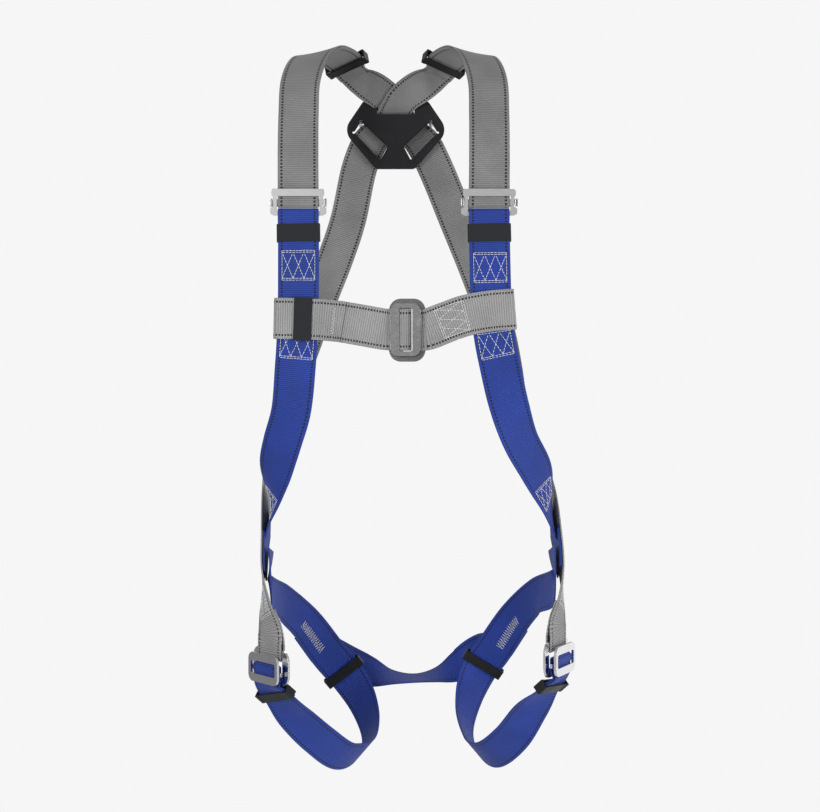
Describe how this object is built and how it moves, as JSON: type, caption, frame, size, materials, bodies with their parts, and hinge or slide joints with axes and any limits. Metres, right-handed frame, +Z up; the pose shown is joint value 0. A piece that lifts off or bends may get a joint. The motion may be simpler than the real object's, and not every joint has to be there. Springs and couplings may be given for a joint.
{
  "type": "full-body safety harness",
  "caption": "Full-body fall-arrest harness of flat webbing: shoulder, chest, hip, thigh and seat straps, metal adjusting buckles, dorsal plate and D-ring.",
  "frame": {"origin": "middle of the dorsal plate's body-side face", "axes": "+Z up, the wearer faces -Y, +X to the right of someone who faces the wearer"},
  "size_m": [0.3717, 0.3086, 0.8653],
  "materials": {
    "grey_webbing": "woven",
    "blue_webbing": "woven",
    "elastic": "woven elastic",
    "steel": "satin",
    "black_plastic": "matte"
  },
  "bodies": {
    "webbing": {"chest_buckle_plate": "steel", "chest_buckle_slide_bar": "steel", "chest_strap_left": "grey_webbing", "chest_strap_right": "grey_webbing", "dorsal_plate": "black_plastic", "front_strap_left": "blue_webbing", "front_strap_right": "blue_webbing", "hip_strap_left": "grey_webbing", "hip_strap_right": "grey_webbing", "leg_buckle_plate_left": "steel", "leg_buckle_plate_right": "steel", "leg_buckle_slide_bar_left": "steel", "leg_buckle_slide_bar_right": "steel", "seat_strap": "blue_webbing", "shoulder_frame_left": "steel", "shoulder_frame_right": "steel", "shoulder_strap_left": "grey_webbing", "shoulder_strap_right": "grey_webbing", "thigh_strap_left": "blue_webbing", "thigh_strap_right": "blue_webbing"},
    "dorsal_d_ring": {"dorsal_d_ring": "steel"},
    "shoulder_slide_bar_left": {"shoulder_slide_bar_left": "steel"},
    "shoulder_slide_bar_right": {"shoulder_slide_bar_right": "steel"},
    "chest_buckle_frame": {"chest_buckle_frame": "steel"},
    "leg_buckle_frame_left": {"leg_buckle_frame_left": "steel"},
    "leg_buckle_frame_right": {"leg_buckle_frame_right": "steel"},
    "front_elastic_left": {"front_elastic_left": "elastic"},
    "front_elastic_right": {"front_elastic_right": "elastic"},
    "chest_elastic": {"chest_elastic": "elastic"},
    "buckle_keeper_left": {"buckle_keeper_left": "black_plastic"},
    "buckle_keeper_right": {"buckle_keeper_right": "black_plastic"},
    "shoulder_keeper_left": {"shoulder_keeper_left": "black_plastic"},
    "shoulder_keeper_right": {"shoulder_keeper_right": "black_plastic"},
    "thigh_keeper_left": {"thigh_keeper_left": "black_plastic"},
    "thigh_keeper_right": {"thigh_keeper_right": "black_plastic"}
  },
  "joints": [
    {"name": "d_ring_swing", "type": "hinge", "parent": "webbing", "child": "dorsal_d_ring", "pos_m": [0, 0.0068, 0.0175], "axis": [1, 0, 0], "range_deg": [0, 95]},
    {"name": "chest_frame_tip", "type": "hinge", "parent": "webbing", "child": "chest_buckle_frame", "pos_m": [-0.0015, -0.2443, -0.259], "axis": [0, 0, -1], "range_deg": [0, 15]},
    {"name": "leg_frame_tip_left", "type": "hinge", "parent": "webbing", "child": "leg_buckle_frame_left", "pos_m": [-0.1463, -0.19593, -0.651], "axis": [0.6428, -0.766, 0], "range_deg": [0, 15]},
    {"name": "shoulder_bar_slide_left", "type": "slide", "parent": "webbing", "child": "shoulder_slide_bar_left", "axis": [0, 0, 1], "range_m": [0, 0.003]},
    {"name": "leg_frame_tip_right", "type": "hinge", "parent": "webbing", "child": "leg_buckle_frame_right", "pos_m": [0.19165, -0.19541, -0.6405], "axis": [0.4695, 0.8829, 0], "range_deg": [0, 15]},
    {"name": "shoulder_bar_slide_right", "type": "slide", "parent": "webbing", "child": "shoulder_slide_bar_right", "axis": [0, 0, 1], "range_m": [0, 0.003]},
    {"name": "front_elastic_left_slide", "type": "slide", "parent": "webbing", "child": "front_elastic_left", "axis": [0.0213, -0.124, -0.9921], "range_m": [-0.001, 0.008]},
    {"name": "front_elastic_right_slide", "type": "slide", "parent": "webbing", "child": "front_elastic_right", "axis": [0.0183, -0.124, -0.9921], "range_m": [-0.0005, 0.008]},
    {"name": "chest_elastic_slide", "type": "slide", "parent": "webbing", "child": "chest_elastic", "axis": [0.9994, 0.0049, -0.0351], "range_m": [-0.008, 0.006]},
    {"name": "shoulder_keeper_left_slide", "type": "slide", "parent": "webbing", "child": "shoulder_keeper_left", "axis": [0.4413, 0.8655, -0.2371], "range_m": [-0.006, 0]},
    {"name": "shoulder_keeper_right_slide", "type": "slide", "parent": "webbing", "child": "shoulder_keeper_right", "axis": [-0.4413, 0.8655, -0.2371], "range_m": [-0.006, 0]},
    {"name": "thigh_keeper_left_slide", "type": "slide", "parent": "webbing", "child": "thigh_keeper_left", "axis": [0.5933, 0.2169, -0.7752], "range_m": [-0.002, 0.002]},
    {"name": "thigh_keeper_right_slide", "type": "slide", "parent": "webbing", "child": "thigh_keeper_right", "axis": [-0.5058, 0.2548, -0.8242], "range_m": [0, 0.001]},
    {"name": "buckle_keeper_left_slide", "type": "slide", "parent": "webbing", "child": "buckle_keeper_left", "axis": [-0.5925, -0.4363, 0.6772], "range_m": [-0.001, 0]},
    {"name": "buckle_keeper_right_slide", "type": "slide", "parent": "webbing", "child": "buckle_keeper_right", "axis": [0.6169, -0.3824, 0.688], "range_m": [0, 0.002]}
  ]
}
